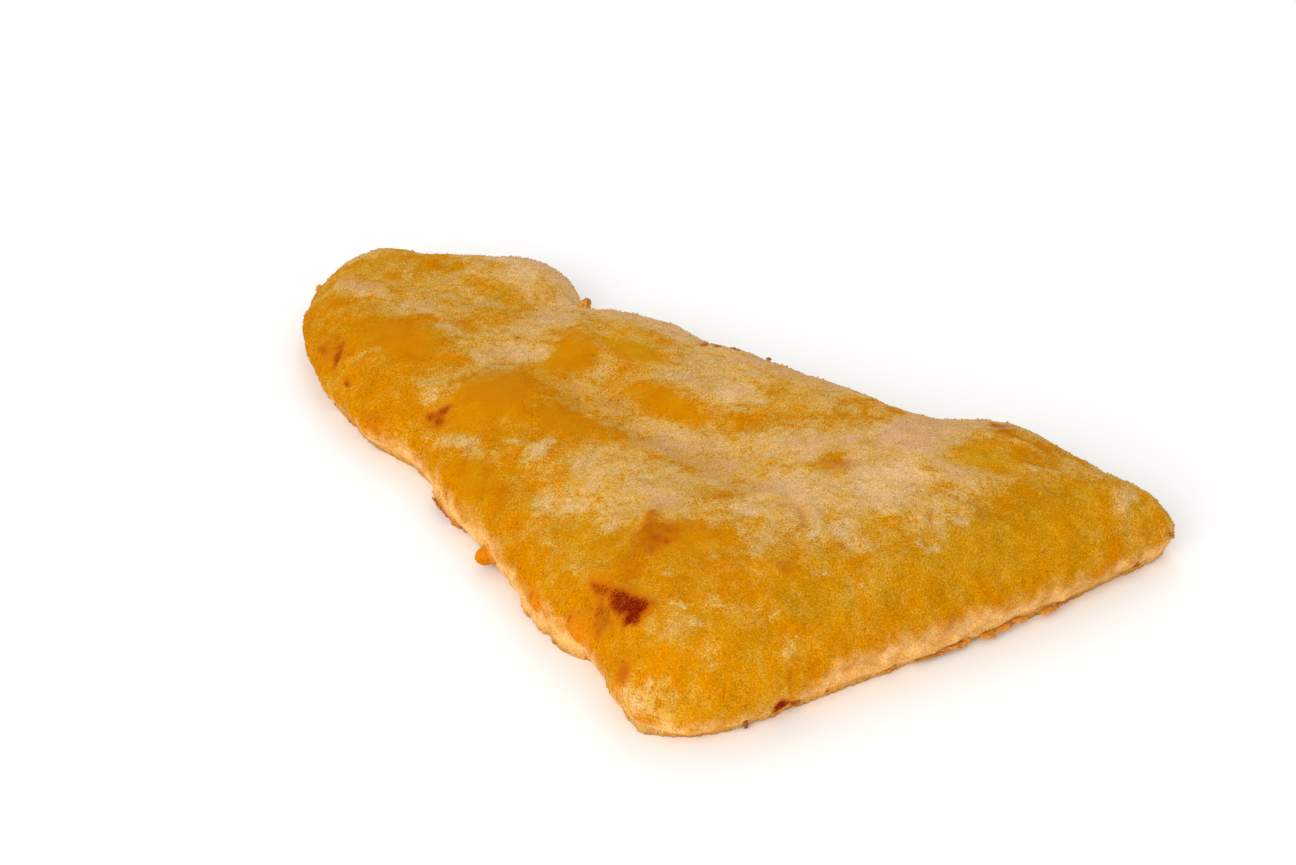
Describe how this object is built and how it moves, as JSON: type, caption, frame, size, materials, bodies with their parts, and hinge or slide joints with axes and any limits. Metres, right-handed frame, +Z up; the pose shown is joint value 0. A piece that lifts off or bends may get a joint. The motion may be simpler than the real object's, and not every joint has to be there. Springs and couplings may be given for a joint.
{
  "type": "fried fish fillet",
  "caption": "Flat wedge-shaped fish fillet in a golden fried flour coating, thick at the wide loin end and thin at the rounded tail, lying on a flat underside.",
  "frame": {"origin": "middle of the piece's bounding box on its underside, the surface that it lies on", "axes": "+X along the length from the tail to the wide cut end, +Y across to the straight back edge, +Z up"},
  "size_m": [0.1888, 0.1124, 0.0204],
  "materials": {
    "fried_coating": "golden fried flour coating, matt and finely grainy with oily orange patches, pale floury streaks and a few red-brown spots"
  },
  "bodies": {
    "root": {"fillet": "fried_coating"}
  },
  "joints": []
}
